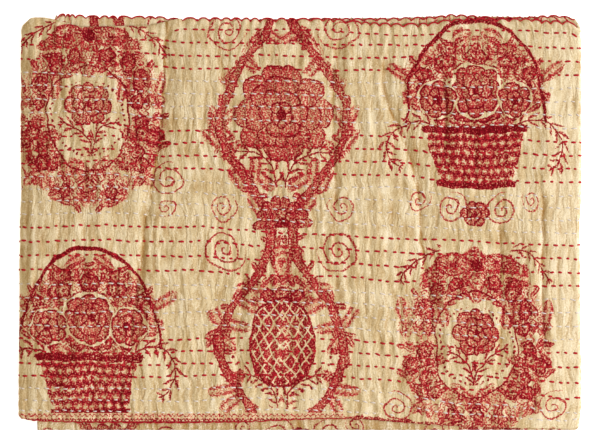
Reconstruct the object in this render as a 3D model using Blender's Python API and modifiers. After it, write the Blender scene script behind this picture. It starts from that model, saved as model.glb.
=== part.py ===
"""A quilted cotton throw blanket, folded into a flat stack.

Metres, +Z up. +X runs to the right of the front panel and +Y to its top hem. The origin is the centre of
the stack's underside. The cloth is one sheet: two cottons held by running stitches, folded back and forth.
Run it with blender --background --python part.py, or from the text editor.
"""

import math

import bmesh
import bpy
from mathutils import Vector

# Cloth and stack
CLOTH_THICK = 0.0024
LAYER_GAP = 0.0006
LAYER_COUNT = 9
LAYER_PITCH = CLOTH_THICK + LAYER_GAP
SHEET_LOW = CLOTH_THICK / 2
STACK_MIDDLE = SHEET_LOW + (LAYER_COUNT - 1) * LAYER_PITCH / 2
FLAT_STACK = 40.0

# Front panel
PANEL_LEFT = -0.2968
PANEL_RIGHT = 0.2966
STACK_TOP = 0.2200
STACK_BOTTOM = -0.2200
FRONT_COLUMNS = 34
HIDDEN_COLUMNS = 9
FOLD_STEPS = 6
WRAP_STEPS = 12
WRAP_DEPTH = 0.0116
WRAP_SQUARENESS = 0.62

# Quilting: rows of running stitch across the panel, counted from the top hem
ROW_COUNT = 31
HEM_ROW_IN = 0.0112
FIRST_ROW_LEFT = 0.1938
FIRST_ROW_RIGHT = 0.1864
ROW_PITCH_LEFT = 0.01355
ROW_PITCH_RIGHT = 0.01446
ROW_SPACE_LEAST = 0.0045
PUFF_HEIGHT = 0.0013
PUFF_UNEVEN = 0.35
DIMPLE_PITCH = 0.031
DISSOLVE_ANGLE = math.radians(1.6)

# The front panel's two hems, from left to right
FRONT_EDGE_COLUMNS = ("x", "top", "bottom")
FRONT_EDGES = (
    (-0.2968, 0.2105, -0.2080),
    (-0.2890, 0.2168, -0.2096),
    (-0.2740, 0.2166, -0.2098),
    (-0.2580, 0.2148, -0.2098),
    (-0.2443, 0.2096, -0.2098),
    (-0.2316, 0.2056, -0.2098),
    (-0.1577, 0.2075, -0.2098),
    (-0.1340, 0.2130, -0.2096),
    (-0.1250, 0.2160, -0.2094),
    (0.0325, 0.2148, -0.2066),
    (0.0747, 0.2105, -0.2038),
    (0.1380, 0.2098, -0.2120),
    (0.1540, 0.2135, -0.2140),
    (0.1803, 0.2162, -0.2158),
    (0.2911, 0.2150, -0.2184),
    (0.2966, 0.2100, -0.2170),
)

# How far the stack's two folded sides stand in from their furthest reach, from top to bottom
SIDE_COLUMNS = ("y", "left_in", "right_in")
SIDES = (
    (0.2200, 0.0060, 0.0045),
    (0.2080, 0.0024, 0.0020),
    (0.1900, 0.0022, 0.0002),
    (0.0300, 0.0022, 0.0002),
    (0.0000, 0.0012, 0.0018),
    (-0.0500, 0.0002, 0.0018),
    (-0.1400, 0.0000, 0.0004),
    (-0.1950, 0.0003, 0.0000),
    (-0.2200, 0.0016, 0.0030),
)

# Soft ridges of the front panel, each along a line from its top end to its bottom end. The cloth rises to
# the height over the spread on the line's left, and falls again over the spread on its right.
RIDGE_COLUMNS = ("x_top", "y_top", "x_low", "y_low", "height", "left_spread", "right_spread")
RIDGES = (
    (-0.1270, 0.2120, -0.1418, 0.1716, 0.0036, 0.060, 0.007),
    (-0.1418, 0.1716, -0.1629, 0.0005, 0.0034, 0.050, 0.009),
    (-0.1629, 0.0005, -0.1767, -0.1241, 0.0028, 0.045, 0.011),
    (-0.1767, -0.1241, -0.1893, -0.1874, 0.0018, 0.036, 0.014),
    (0.0894, 0.1378, 0.1222, 0.0533, 0.0016, 0.018, 0.016),
    (0.1222, 0.0533, 0.1444, -0.1452, 0.0018, 0.020, 0.018),
    (0.1528, 0.1505, 0.1550, 0.0892, 0.0013, 0.012, 0.012),
    (0.1845, 0.0977, 0.1856, 0.0079, 0.0012, 0.012, 0.011),
    (0.2563, 0.0238, 0.2574, -0.1241, 0.0014, 0.012, 0.012),
    (-0.0840, 0.1900, -0.0720, 0.0800, 0.0013, 0.024, 0.022),
    (0.0410, 0.2000, 0.0380, 0.1100, 0.0012, 0.022, 0.022),
    (-0.0150, -0.0100, -0.0050, -0.1900, 0.0014, 0.030, 0.026),
    (-0.2500, 0.1900, -0.2560, -0.1700, 0.0010, 0.026, 0.026),
)
RIDGE_END_FADE = 0.022

# The layers, from the front down. Each has its hems' places, the x of its left and right turns or ends,
# and how far its top hem drops near its left corner.
LAYER_COLUMNS = ("top", "bottom", "left", "right", "corner_drop")
LAYERS = (
    (0.2150, -0.2110, -0.2842, 0.2951, 0.0000),
    (0.2196, -0.2196, -0.2650, 0.2951, 0.0000),
    (0.2180, -0.2172, -0.2865, 0.2905, 0.0060),
    (0.2172, -0.2186, -0.2865, 0.2920, 0.0060),
    (0.2160, -0.2176, -0.2850, 0.2920, 0.0050),
    (0.2176, -0.2180, -0.2850, 0.2932, 0.0060),
    (0.2165, -0.2170, -0.2860, 0.2932, 0.0050),
    (0.2172, -0.2182, -0.2860, 0.2940, 0.0060),
    (0.2180, -0.2176, -0.2842, 0.2940, 0.0070),
)
END_SLANT = 0.0127
CORNER_LENGTH = 0.034
LOWER_LEFT_CORNER = -0.2690
LOWER_LEFT_TUCK = 0.0100

CLOTH_COLOUR = (0.66, 0.50, 0.28, 1.0)
CLOTH_ROUGHNESS = 0.92


def rows_of(table, columns):
    """The rows of a table as dictionaries, one for each row."""
    return [dict(zip(columns, row)) for row in table]


def smooth(value):
    """0 to 1 with a soft start and end."""
    value = min(max(value, 0.0), 1.0)
    return value * value * (3.0 - 2.0 * value)


def blend(low, high, share):
    return low + (high - low) * share


def read_table(rows, key, name, at):
    """A column's value between a table's rows, which may run up or down in key."""
    ordered = sorted(rows, key=lambda row: row[key])
    if at <= ordered[0][key]:
        return ordered[0][name]
    for before, after in zip(ordered, ordered[1:]):
        if at <= after[key]:
            share = (at - before[key]) / (after[key] - before[key])
            return blend(before[name], after[name], share)
    return ordered[-1][name]


front_edges = rows_of(FRONT_EDGES, FRONT_EDGE_COLUMNS)
sides = rows_of(SIDES, SIDE_COLUMNS)
ridges = rows_of(RIDGES, RIDGE_COLUMNS)
layers = rows_of(LAYERS, LAYER_COLUMNS)


def layer_height(index):
    """The middle of a layer's cloth, index 0 on top."""
    return SHEET_LOW + (LAYER_COUNT - 1 - index) * LAYER_PITCH


def hems_of(index, x):
    """The y of a layer's top and bottom hem at x."""
    if index == 0:
        return read_table(front_edges, "x", "top", x), read_table(front_edges, "x", "bottom", x)
    layer = layers[index]
    from_corner = smooth(1.0 - (x - PANEL_LEFT) / CORNER_LENGTH)
    top = layer["top"] - layer["corner_drop"] * from_corner
    bottom = layer["bottom"]
    if index > 1:
        bottom += LOWER_LEFT_TUCK * smooth((LOWER_LEFT_CORNER - x) / (LOWER_LEFT_CORNER - PANEL_LEFT) * 3.0)
    return top, bottom


def row_stations(x, top, bottom):
    """The y of every stitch row, with the puffs' crests between them, from the bottom hem to the top one."""
    across = (x - PANEL_LEFT) / (PANEL_RIGHT - PANEL_LEFT)
    first = blend(FIRST_ROW_LEFT, FIRST_ROW_RIGHT, across)
    pitch = blend(ROW_PITCH_LEFT, ROW_PITCH_RIGHT, across)
    rows = [top - HEM_ROW_IN]
    for number in range(ROW_COUNT - 1):
        floor = bottom + (ROW_COUNT - 1 - number) * ROW_SPACE_LEAST
        rows.append(max(min(first - number * pitch, rows[-1] - ROW_SPACE_LEAST), floor))
    marks = [top] + rows + [bottom]
    stations = [top]
    for before, after in zip(marks, marks[1:]):
        stations += [(before + after) / 2, after]
    return stations[::-1]


STATION_COUNT = 2 * (ROW_COUNT + 1) + 1


def is_crest(station):
    """Whether a station lies on the crest between two rows."""
    return station % 2 == 1


def ridge_height(x, y):
    """How far the front panel's broad folds lift the cloth at x, y."""
    lift = 0.0
    for ridge in ridges:
        share = (ridge["y_top"] - y) / (ridge["y_top"] - ridge["y_low"])
        line = blend(ridge["x_top"], ridge["x_low"], min(max(share, 0.0), 1.0))
        past_end = max(y - ridge["y_top"], ridge["y_low"] - y, 0.0)
        along = 1.0 - smooth(past_end / RIDGE_END_FADE)
        spread = ridge["left_spread"] if x < line else ridge["right_spread"]
        across = 1.0 - smooth(abs(x - line) / spread)
        lift = max(lift, ridge["height"] * along * across)
    return lift


def turn_points(x_turn, from_index, to_index, side, steps, depth, squareness):
    """The section through a fold between two layers: side is 1 at the right, -1 at the left."""
    z_from = layer_height(from_index)
    z_to = layer_height(to_index)
    middle = (z_from + z_to) / 2
    half = (z_from - z_to) / 2
    points = []
    for step in range(1, steps):
        angle = math.pi / 2 - math.pi * step / steps
        out = abs(math.cos(angle)) ** squareness
        up = math.copysign(abs(math.sin(angle)) ** squareness, math.sin(angle))
        share = step / steps
        points.append((x_turn + side * depth * out, middle + half * up, from_index, to_index, share))
    return points


def flat_points(index, x_from, x_to, count):
    """The section through a layer that lies flat."""
    points = []
    for number in range(count):
        x = blend(x_from, x_to, number / (count - 1))
        points.append((x, layer_height(index), index, index, 0.0))
    return points


def section_points():
    """The whole cloth's section, from its end behind the front panel to its end in the stack."""
    small = LAYER_PITCH / 2
    last = LAYER_COUNT - 1
    points = flat_points(1, layers[1]["left"], layers[1]["right"], HIDDEN_COLUMNS)
    points += turn_points(layers[0]["right"], 1, 0, 1, FOLD_STEPS, small, 1.0)
    points += flat_points(0, layers[0]["right"], layers[0]["left"], FRONT_COLUMNS)
    points += turn_points(layers[0]["left"], 0, last, -1, WRAP_STEPS, WRAP_DEPTH, WRAP_SQUARENESS)
    points += flat_points(last, layers[last]["left"], layers[last]["right"], HIDDEN_COLUMNS)
    for low in range(last, 2, -2):
        right = layers[low]["right"]
        left = layers[low - 1]["left"]
        points += turn_points(right, low, low - 1, 1, FOLD_STEPS, small, 1.0)
        points += flat_points(low - 1, right, left, HIDDEN_COLUMNS)
        points += turn_points(left, low - 1, low - 2, -1, FOLD_STEPS, small, 1.0)
        points += flat_points(low - 2, left, layers[low - 2]["right"], HIDDEN_COLUMNS)
    return points


def cloth_point(point, station):
    """The place of the cloth's middle at a point of the section and a station along it."""
    x, z, from_index, to_index, share = point
    top_a, bottom_a = hems_of(from_index, x)
    top_b, bottom_b = hems_of(to_index, x)
    top = blend(top_a, top_b, share)
    bottom = blend(bottom_a, bottom_b, share)
    y = row_stations(x, top, bottom)[station]
    side = smooth((abs(x) - 0.20) / 0.09)
    if x < 0.0:
        x += read_table(sides, "y", "left_in", y) * side
    else:
        x -= read_table(sides, "y", "right_in", y) * side
    if from_index == 1 and to_index == 1:
        x += END_SLANT * (y - STACK_BOTTOM) / (STACK_TOP - STACK_BOTTOM) * smooth((-0.24 - x) / 0.025)
    if from_index == 0 and to_index == 0:
        z += ridge_height(x, y)
    return Vector((x, y, z))


def puff(x, station, y):
    """The height of the quilting between the stitch rows, as uneven as the hand sewing."""
    if not is_crest(station):
        return 0.0
    wave = math.sin(x * 2 * math.pi / DIMPLE_PITCH + station * 1.9) * math.sin(x * 37.0 + y * 61.0 + 0.8)
    return PUFF_HEIGHT * (1.0 + PUFF_UNEVEN * wave)


def make_cloth_sheet(points):
    """A grid with one column for each section point, folded into its place."""
    mesh_data = bmesh.new()
    column_count = len(points)
    bmesh.ops.create_grid(
        mesh_data, x_segments=column_count - 1, y_segments=STATION_COUNT - 1, size=1.0
    )
    places = []
    for vertex in mesh_data.verts:
        column = round((vertex.co.x + 1) / 2 * (column_count - 1))
        station = round((vertex.co.y + 1) / 2 * (STATION_COUNT - 1))
        places.append((column, station))
    for vertex, (column, station) in zip(mesh_data.verts, places):
        vertex.co = cloth_point(points[column], station)
    mesh = bpy.data.meshes.new("quilt")
    mesh_data.to_mesh(mesh)
    mesh_data.free()
    return mesh, places


def thicken(mesh, collection):
    """The cloth's own thickness, half to each side, as a new mesh whose first points are one of its faces."""
    blank = bpy.data.objects.new("cloth_blank", mesh)
    collection.objects.link(blank)
    solidify = blank.modifiers.new("cloth_thickness", "SOLIDIFY")
    solidify.thickness = CLOTH_THICK
    solidify.offset = 0.0
    solidify.use_even_offset = True
    solidify.use_quality_normals = True
    evaluated = blank.evaluated_get(bpy.context.evaluated_depsgraph_get())
    solid = bpy.data.meshes.new_from_object(evaluated)
    bpy.data.objects.remove(blank)
    return solid


def quilting_share(point):
    """How much of the quilting's height a point of the section takes: the folds' hidden halves stay plain."""
    x, z, from_index, to_index, share = point
    if from_index == 0:
        return 1.0 - share
    if to_index == 0:
        return share
    return 0.0


def raise_quilting(solid, points, places):
    """Lifts the outer face of the front panel, and of the folds beside it, between the stitch rows."""
    count = len(places)
    for number, (column, station) in enumerate(places):
        share = quilting_share(points[column])
        if share == 0.0:
            continue
        first = solid.vertices[number]
        second = solid.vertices[number + count]
        outward = first.co - second.co
        from_middle = Vector((first.co.x, 0.0, (first.co.z - STACK_MIDDLE) * FLAT_STACK))
        if outward.dot(from_middle) < 0.0:
            outward = -outward
            first = second
        lift = puff(first.co.x, station, first.co.y) * share
        first.co += outward.normalized() * lift


def make_material():
    material = bpy.data.materials.new("printed_cotton")
    material.use_nodes = True
    shader = material.node_tree.nodes["Principled BSDF"]
    shader.inputs["Base Color"].default_value = CLOTH_COLOUR
    shader.inputs["Roughness"].default_value = CLOTH_ROUGHNESS
    shader.inputs["Metallic"].default_value = 0.0
    return material


def main():
    for old in list(bpy.data.objects):
        bpy.data.objects.remove(old)
    collection = bpy.data.collections.new("quilted_throw")
    bpy.context.scene.collection.children.link(collection)
    points = section_points()
    sheet, places = make_cloth_sheet(points)
    solid = thicken(sheet, collection)
    raise_quilting(solid, points, places)
    solid.name = "quilt"
    solid.materials.clear()
    solid.materials.append(make_material())
    quilt = bpy.data.objects.new("quilt", solid)
    collection.objects.link(quilt)
    merge_flats = quilt.modifiers.new("merge_flats", "DECIMATE")
    merge_flats.decimate_type = "DISSOLVE"
    merge_flats.angle_limit = DISSOLVE_ANGLE


main()
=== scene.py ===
"""The folded quilt throw, dressed in printed cotton with running stitches and overcast hems."""

import math

import bpy
import numpy as np
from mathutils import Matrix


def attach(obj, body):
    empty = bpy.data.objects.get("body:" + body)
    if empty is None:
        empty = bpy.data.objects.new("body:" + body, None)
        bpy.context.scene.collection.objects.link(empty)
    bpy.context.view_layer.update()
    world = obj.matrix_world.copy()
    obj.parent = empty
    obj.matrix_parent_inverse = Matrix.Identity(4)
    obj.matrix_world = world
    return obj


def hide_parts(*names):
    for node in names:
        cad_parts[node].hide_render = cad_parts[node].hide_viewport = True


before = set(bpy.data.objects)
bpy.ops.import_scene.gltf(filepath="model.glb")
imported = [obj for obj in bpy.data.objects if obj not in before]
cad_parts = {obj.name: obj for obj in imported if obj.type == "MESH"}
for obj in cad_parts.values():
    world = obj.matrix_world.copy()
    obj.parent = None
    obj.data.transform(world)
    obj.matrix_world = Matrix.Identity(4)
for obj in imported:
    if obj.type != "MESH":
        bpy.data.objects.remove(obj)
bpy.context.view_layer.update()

# The quilt cloth is two cottons laid together, printed in red on cream, and held by rows of hand-run
# stitches that draw it into puffs and wrinkles. One sheet is folded back and forth: its end lies behind
# the front panel, and the left side wraps round the whole stack.
CLOTH_THICK = 0.0024
LAYER_PITCH = 0.0030
LAYER_COUNT = 9
PANEL_LEFT = -0.2968
PANEL_RIGHT = 0.2966
ROW_COUNT = 31
STEPS_PER_ROW = 5
HEM_ROW_IN = 0.0112
PLACED_ROWS = (2, 5, 9, 13, 17, 21, 25, 29, 31)
ROW_SPACE_LEAST = 0.0045
FRONT_COLUMNS = 390
SECOND_COLUMNS = 300
HIDDEN_COLUMNS = 92
WRAP_COLUMNS = 28
TURN_COLUMNS = 9
WRAP_DEPTH = 0.0116
WRAP_SQUARENESS = 0.62
END_SLANT = 0.0157
WHIP_PITCH = 0.01235

FRONT_EDGES = (
    # x, top hem, bottom hem
    (-0.2968, 0.2065, -0.2075),
    (-0.2890, 0.2158, -0.2090),
    (-0.2740, 0.2158, -0.2096),
    (-0.2580, 0.2130, -0.2103),
    (-0.2443, 0.2092, -0.2108),
    (-0.2316, 0.2058, -0.2112),
    (-0.1577, 0.2075, -0.2117),
    (-0.1340, 0.2130, -0.2117),
    (-0.1250, 0.2152, -0.2116),
    (-0.0520, 0.2146, -0.2106),
    (0.0007, 0.2144, -0.2080),
    (0.0325, 0.2142, -0.2070),
    (0.0747, 0.2100, -0.2085),
    (0.1063, 0.2086, -0.2116),
    (0.1380, 0.2094, -0.2138),
    (0.1540, 0.2125, -0.2148),
    (0.1803, 0.2144, -0.2162),
    (0.2480, 0.2138, -0.2174),
    (0.2610, 0.2118, -0.2176),
    (0.2860, 0.2116, -0.2182),
    (0.2966, 0.2060, -0.2170),
)
SECOND_TOP = (
    # x, top hem of the layer behind the front
    (-0.2650, 0.2194),
    (-0.2200, 0.2176),
    (-0.1500, 0.2168),
    (-0.1340, 0.2152),
    (-0.1200, 0.2134),
    (-0.0100, 0.2134),
    (0.0150, 0.2150),
    (0.0800, 0.2146),
    (0.1450, 0.2166),
    (0.1600, 0.2190),
    (0.1780, 0.2180),
    (0.2050, 0.2160),
    (0.2400, 0.2156),
    (0.2620, 0.2176),
    (0.2780, 0.2180),
    (0.2966, 0.2150),
)
SIDES = (
    # y, left side in, right side in
    (-0.2200, 0.0016, 0.0030),
    (-0.1950, 0.0003, 0.0000),
    (-0.1400, 0.0000, 0.0004),
    (-0.0500, 0.0002, 0.0018),
    (0.0000, 0.0012, 0.0018),
    (0.0300, 0.0022, 0.0002),
    (0.1900, 0.0022, 0.0002),
    (0.2080, 0.0024, 0.0020),
    (0.2200, 0.0060, 0.0045),
)
LAYERS = (
    # top hem, bottom hem, left turn or end, right turn or end, drop of the top hem's left corner
    (0.2150, -0.2110, -0.2842, 0.2951, 0.0000),
    (0.2196, -0.2198, -0.2787, 0.2951, 0.0000),
    (0.2180, -0.2172, -0.2865, 0.2905, 0.0060),
    (0.2172, -0.2186, -0.2865, 0.2920, 0.0060),
    (0.2160, -0.2176, -0.2850, 0.2920, 0.0050),
    (0.2176, -0.2180, -0.2850, 0.2932, 0.0060),
    (0.2165, -0.2170, -0.2860, 0.2932, 0.0050),
    (0.2172, -0.2182, -0.2860, 0.2940, 0.0060),
    (0.2180, -0.2176, -0.2842, 0.2940, 0.0070),
)
CREASES = (
    # x and y of its top end, x and y of its low end, depth, spread to the left, spread to the right
    (-0.1397, 0.2117, -0.1418, 0.1716, 0.0042, 0.010, 0.020),
    (-0.1418, 0.1716, -0.1445, 0.1135, 0.0050, 0.011, 0.026),
    (-0.1445, 0.1135, -0.1524, 0.0533, 0.0050, 0.011, 0.024),
    (-0.1524, 0.0533, -0.1619, 0.0005, 0.0046, 0.010, 0.020),
    (-0.1619, 0.0005, -0.1767, -0.1241, 0.0038, 0.010, 0.016),
    (-0.1767, -0.1241, -0.1893, -0.1874, 0.0020, 0.012, 0.012),
    (0.0894, 0.1630, 0.0894, 0.1378, 0.0026, 0.011, 0.010),
    (0.0894, 0.1378, 0.1222, 0.0533, 0.0036, 0.009, 0.013),
    (0.1222, 0.0533, 0.1444, -0.1452, 0.0030, 0.010, 0.012),
    (0.1528, 0.1505, 0.1550, 0.0892, 0.0028, 0.008, 0.008),
    (0.1845, 0.0977, 0.1856, 0.0079, 0.0016, 0.008, 0.006),
    (0.2563, 0.2000, 0.2556, 0.0400, 0.0012, 0.006, 0.005),
    (0.2563, 0.0238, 0.2574, -0.1241, 0.0036, 0.006, 0.006),
    (-0.0840, 0.1900, -0.0720, 0.0800, 0.0017, 0.016, 0.018),
    (0.0410, 0.2000, 0.0380, 0.1100, 0.0016, 0.012, 0.014),
    (-0.0150, -0.0100, -0.0050, -0.1900, 0.0017, 0.018, 0.016),
    (-0.2500, 0.1900, -0.2560, -0.1700, 0.0014, 0.020, 0.016),
    (0.0350, 0.1610, 0.0380, 0.0240, 0.0028, 0.012, 0.009),
    (0.1610, 0.1650, 0.1680, 0.1290, 0.0016, 0.008, 0.006),
    (0.2120, -0.0100, 0.2140, -0.1500, 0.0026, 0.010, 0.008),
    (-0.0600, -0.0650, -0.0660, -0.1800, 0.0026, 0.012, 0.009),
    (-0.2250, 0.0600, -0.2290, -0.0900, 0.0016, 0.012, 0.009),
)
CREASE_END_FADE = 0.016
CREASE_SHARPNESS = 1.7
CREASE_SHADE_WIDTH = 0.0015
PANEL_CROWN = 0.0052
LEFT_FALL = 0.050
RIGHT_FALL = 0.040
ROW_PLACES = (
    # x, then the y of stitch rows 2, 5, 9, 13, 17, 21, 25, 29 and 31
    (-0.2759, 0.2022, 0.1589, 0.1019, 0.0486, -0.0048, -0.0649, -0.1230, -0.1748, -0.1980),
    (-0.1999, 0.1943, 0.1536, 0.1051, 0.0523, -0.0026, -0.0639, -0.1251, -0.1748, -0.1991),
    (-0.1418, 0.1917, 0.1500, 0.0956, 0.0449, -0.0058, -0.0660, -0.1251, -0.1758, -0.2001),
    (-0.1049, 0.1896, 0.1484, 0.0966, 0.0438, -0.0037, -0.0660, -0.1220, -0.1748, -0.2012),
    (-0.0468, 0.1896, 0.1505, 0.0950, 0.0396, -0.0100, -0.0708, -0.1220, -0.1737, -0.1969),
    (0.0483, 0.1864, 0.1468, 0.0924, 0.0364, -0.0143, -0.0713, -0.1230, -0.1758, -0.1991),
    (0.1011, 0.1874, 0.1478, 0.0913, 0.0375, -0.0169, -0.0766, -0.1283, -0.1800, -0.2043),
    (0.1591, 0.1864, 0.1431, 0.0866, 0.0280, -0.0185, -0.0776, -0.1315, -0.1896, -0.2128),
    (0.2172, 0.1874, 0.1426, 0.0892, 0.0280, -0.0222, -0.0829, -0.1357, -0.1927, -0.2160),
    (0.2774, 0.1843, 0.1410, 0.0845, 0.0280, -0.0238, -0.0818, -0.1378, -0.2006, -0.2181),
)
LOWER_LEFT_CORNER = -0.2700
LOWER_LEFT_TUCK = 0.0100
HIDDEN_HEM_DROPS = (
    # x, how much lower the hidden layers' top hems lie
    (-0.0100, 0.0040),
    (0.0300, 0.0020),
    (0.1100, 0.0016),
    (0.1450, 0.0000),
    (0.2966, 0.0004),
)
CORNER_LENGTH = 0.034


def read_table(table, at, column):
    """A column of a table at a place in its first column, on straight lines between the rows."""
    places, values = np.array(table).T[[0, column]]
    return np.interp(at, places, values)


def smooth(value):
    """0 to 1 with a soft start and end."""
    value = np.clip(value, 0.0, 1.0)
    return value * value * (3.0 - 2.0 * value)


def soft_noise(across, along, seed):
    """Smooth noise from -1 to 1 on a lattice of its own numbers, at places given in lattice steps."""
    lattice = np.random.default_rng(seed).uniform(-1.0, 1.0, (128, 128))
    across, along = np.broadcast_arrays(across + 64.0, along + 64.0)
    left = np.floor(across).astype(int)
    low = np.floor(along).astype(int)
    right_share = smooth(across - left)
    up_share = smooth(along - low)
    a = lattice[left % 128, low % 128]
    b = lattice[(left + 1) % 128, low % 128]
    c = lattice[left % 128, (low + 1) % 128]
    d = lattice[(left + 1) % 128, (low + 1) % 128]
    return (a + (b - a) * right_share) * (1 - up_share) + (c + (d - c) * right_share) * up_share


def layer_height(index):
    return CLOTH_THICK / 2 + (LAYER_COUNT - 1 - index) * LAYER_PITCH


def flat_run(index, x_from, x_to, count):
    return [(x, layer_height(index), index, index, 0.0) for x in np.linspace(x_from, x_to, count)]


def turn_run(x_turn, start, end, side, count, depth, squareness):
    """The section through a fold between two layers, to the right with side 1 or to the left with -1."""
    middle = (layer_height(start) + layer_height(end)) / 2
    half = (layer_height(start) - layer_height(end)) / 2
    run = []
    for step in range(1, count):
        angle = math.pi / 2 - math.pi * step / count
        out = abs(math.cos(angle)) ** squareness
        up = math.copysign(abs(math.sin(angle)) ** squareness, math.sin(angle))
        run.append((x_turn + side * depth * out, middle + half * up, start, end, step / count))
    return run


last = LAYER_COUNT - 1
small_turn = LAYER_PITCH / 2
section = flat_run(1, LAYERS[1][2], LAYERS[1][3], SECOND_COLUMNS)
section += turn_run(LAYERS[0][3], 1, 0, 1, TURN_COLUMNS, small_turn, 1.0)
front_start = len(section)
section += flat_run(0, LAYERS[0][3], LAYERS[0][2], FRONT_COLUMNS)
front_end = len(section) - 1
section += turn_run(LAYERS[0][2], 0, last, -1, WRAP_COLUMNS, WRAP_DEPTH, WRAP_SQUARENESS)
under_start = len(section)
section += flat_run(last, LAYERS[last][2], LAYERS[last][3], HIDDEN_COLUMNS)
under_end = len(section) - 1
for low in range(last, 2, -2):
    section += turn_run(LAYERS[low][3], low, low - 1, 1, TURN_COLUMNS, small_turn, 1.0)
    section += flat_run(low - 1, LAYERS[low][3], LAYERS[low - 1][2], HIDDEN_COLUMNS)
    section += turn_run(LAYERS[low - 1][2], low - 1, low - 2, -1, TURN_COLUMNS, small_turn, 1.0)
    section += flat_run(low - 2, LAYERS[low - 1][2], LAYERS[low - 2][3], HIDDEN_COLUMNS)
section_x, section_z, layer_from, layer_to, turn_share = (np.array(part) for part in zip(*section))
column_count = len(section)
station_count = (ROW_COUNT + 1) * STEPS_PER_ROW + 1
rows_up = np.arange(station_count) / STEPS_PER_ROW
on_front = (layer_from == 0) & (layer_to == 0)
front_share = np.where(layer_from == 0, 1.0 - turn_share, np.where(layer_to == 0, turn_share, 0.0))


def hems_at(index, x):
    """The y of a layer's top and bottom hem, before the overcast stitches draw them in."""
    if index == 0:
        return read_table(FRONT_EDGES, x, 1), read_table(FRONT_EDGES, x, 2)
    top, bottom, _, _, drop = LAYERS[index]
    if index == 1:
        top = read_table(SECOND_TOP, x, 1)
    top -= drop * smooth(1.0 - (x - PANEL_LEFT) / CORNER_LENGTH)
    if index > 1:
        top -= read_table(HIDDEN_HEM_DROPS, x, 1)
        span = LOWER_LEFT_CORNER - PANEL_LEFT
        bottom += LOWER_LEFT_TUCK * smooth((LOWER_LEFT_CORNER - x) / span * 3.0)
    return top, bottom


row_x, *row_heights = np.array(ROW_PLACES).T


def rows_at(x, top, bottom):
    """The y of the bottom hem, every stitch row from the lowest to the highest, and the top hem."""
    placed = [np.interp(x, row_x, height) for height in row_heights]
    rows = [top - HEM_ROW_IN]
    for number, height in enumerate(np.interp(range(2, ROW_COUNT + 1), PLACED_ROWS, placed)):
        floor = bottom + (ROW_COUNT - 1 - number) * ROW_SPACE_LEAST
        rows.append(max(min(height, rows[-1] - ROW_SPACE_LEAST), floor))
    return [bottom] + rows[::-1] + [top]


HEM_NOTCHES = {0: 0.0040, 1: 0.0036}
HEM_SHARE = 0.45
HIDDEN_HEM_SHARE = 0.80
OTHER_NOTCH = 0.0018
ROLL_END = -0.130
BAND_END = 0.050


def scallop(index, run):
    """0 at the middle of each scallop of a whipped hem and 1 in the notch that its stitch draws in."""
    phase = run / WHIP_PITCH + 0.37 * index + 0.42 * soft_noise(run / 0.021, 0.5, 40 + index)
    depth = 0.72 + 0.28 * soft_noise(run / 0.016, 0.5, 60 + index)
    return depth * (1.0 - np.abs(np.sin(math.pi * phase))) ** 1.5


middle_line = np.zeros((column_count, station_count, 3))
for column in range(column_count):
    x, start, end, share = (part[column] for part in (section_x, layer_from, layer_to, turn_share))
    top_a, bottom_a = hems_at(start, x)
    top_b, bottom_b = hems_at(end, x)
    top = top_a + (top_b - top_a) * share
    bottom = bottom_a + (bottom_b - bottom_a) * share
    marks = rows_at(x, top, bottom)
    nearest = int(start if share < 0.5 else end)
    notch = HEM_NOTCHES.get(nearest, OTHER_NOTCH) * scallop(nearest, x)
    if nearest == 0:
        notch *= smooth((x - ROLL_END) / 0.006)
    marks[-1] -= notch - 0.25 * HEM_NOTCHES.get(nearest, OTHER_NOTCH)
    marks[0] += 0.4 * OTHER_NOTCH * scallop(nearest + 20, x)
    middle_line[column, :, 0] = x
    middle_line[column, :, 1] = np.interp(rows_up, np.arange(len(marks)), marks)
    middle_line[column, :, 2] = section_z[column]

x = middle_line[:, :, 0]
y = middle_line[:, :, 1]
inner_rows = smooth(rows_up / 2.0) * smooth((ROW_COUNT + 1 - rows_up) / 2.0)
wander = 0.0005 * soft_noise(x / 0.060, rows_up * 0.22, 3)
wander += 0.0007 * soft_noise(x / 0.030, rows_up * 0.9, 4)
y += wander * inner_rows * front_share[:, None]
side = smooth((np.abs(x) - 0.20) / 0.09)
x += np.where(x < 0.0, read_table(SIDES, y, 1), -read_table(SIDES, y, 2)) * side
end_layer = ((layer_from == 1) & (layer_to == 1))[:, None]
x += end_layer * END_SLANT * (y + 0.22) / 0.44 * smooth((-0.23 - x) / 0.04)

sunk = np.zeros_like(x)
# Besides sinking the cloth, each crease leaves a line of painted shade along it, kept for the colour of
# the front's outer face.
crease_shade_line = np.zeros_like(x)
for x_top, y_top, x_low, y_low, depth, left_spread, right_spread in CREASES:
    share = np.clip((y_top - y) / (y_top - y_low), 0.0, 1.0)
    line = x_top + (x_low - x_top) * share + 0.0016 * soft_noise(y / 0.02, 0.3 + x_top * 40, 8)
    past_end = np.maximum(np.maximum(y - y_top, y_low - y), 0.0)
    spread = np.where(x < line, left_spread, right_spread)
    along = depth * (1.0 - smooth(past_end / CREASE_END_FADE))
    away = np.abs(x - line)
    sunk = np.maximum(sunk, along * np.clip(1.0 - away / spread, 0.0, 1.0) ** CREASE_SHARPNESS)
    crease_shade_line = np.maximum(crease_shade_line, along / 0.0034 * np.exp(-((away / CREASE_SHADE_WIDTH) ** 2)))
slow = 0.5 + 0.25 * soft_noise(x / 0.045, y / 0.11, 11) + 0.25 * soft_noise(x / 0.020, y / 0.07, 12)
crown = np.clip(np.minimum((x - PANEL_LEFT) / LEFT_FALL, (PANEL_RIGHT - x) / RIGHT_FALL), 0.0, 1.0)
lift = (PANEL_CROWN * crown + 0.0030 * slow - sunk * np.minimum(crown * 2.0, 1.0)) * inner_rows
lift = np.where(on_front[:, None], lift, 0.0)
ROLL_RADIUS = 0.0065
from_top = middle_line[:, -1:, 1] - y
rolled = np.clip(1.0 - from_top / ROLL_RADIUS, 0.0, 1.0) * (1.0 - smooth((x - ROLL_END) / 0.006))
from_low = y - middle_line[:, :1, 1]
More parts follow.
